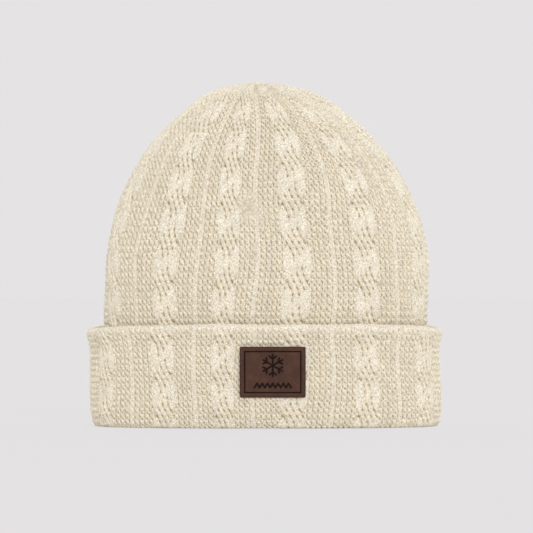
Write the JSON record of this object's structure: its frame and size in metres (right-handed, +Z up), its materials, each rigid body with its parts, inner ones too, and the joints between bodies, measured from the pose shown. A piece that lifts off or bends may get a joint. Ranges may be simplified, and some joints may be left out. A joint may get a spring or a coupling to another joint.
{
  "type": "knit beanie",
  "caption": "Cuffed cable-knit winter beanie with a closed crown, fleece lining, leather patch and care label.",
  "frame": {"origin": "on the hat's centre line, in the plane that the cuff's bottom fold stands on", "axes": "+Z up through the crown, -Y towards the front, where the patch is, +X to the wearer's left"},
  "size_m": [0.2219, 0.1227, 0.2148],
  "materials": {
    "ivory_knit": "chunky ivory cable knit",
    "lining_fleece": "brushed microfleece",
    "sewing_thread": "spun polyester",
    "patch_leather": "engraved, waxed",
    "bonding_film": "heat-set glue film",
    "label_satin": "polyester satin ribbon"
  },
  "bodies": {
    "hat": {"knit_crown": "ivory_knit", "turn_up_cuff": "ivory_knit", "shell_seam_yarn": "ivory_knit", "crown_closing_yarn": "ivory_knit", "lining_gore_front_left": "lining_fleece", "lining_gore_front_right": "lining_fleece", "lining_gore_back_left": "lining_fleece", "lining_gore_back_right": "lining_fleece", "lining_seam_thread": "sewing_thread", "lining_hem_thread": "sewing_thread", "leather_patch": "patch_leather", "patch_bonding_film": "bonding_film", "care_label_stitches": "sewing_thread"},
    "label": {"care_label": "label_satin"}
  },
  "joints": [
    {"name": "label_swing", "type": "hinge", "parent": "hat", "child": "label", "pos_m": [0, 0.0438, 0.051], "axis": [0, 0, -1], "range_deg": [-5, 162]}
  ]
}
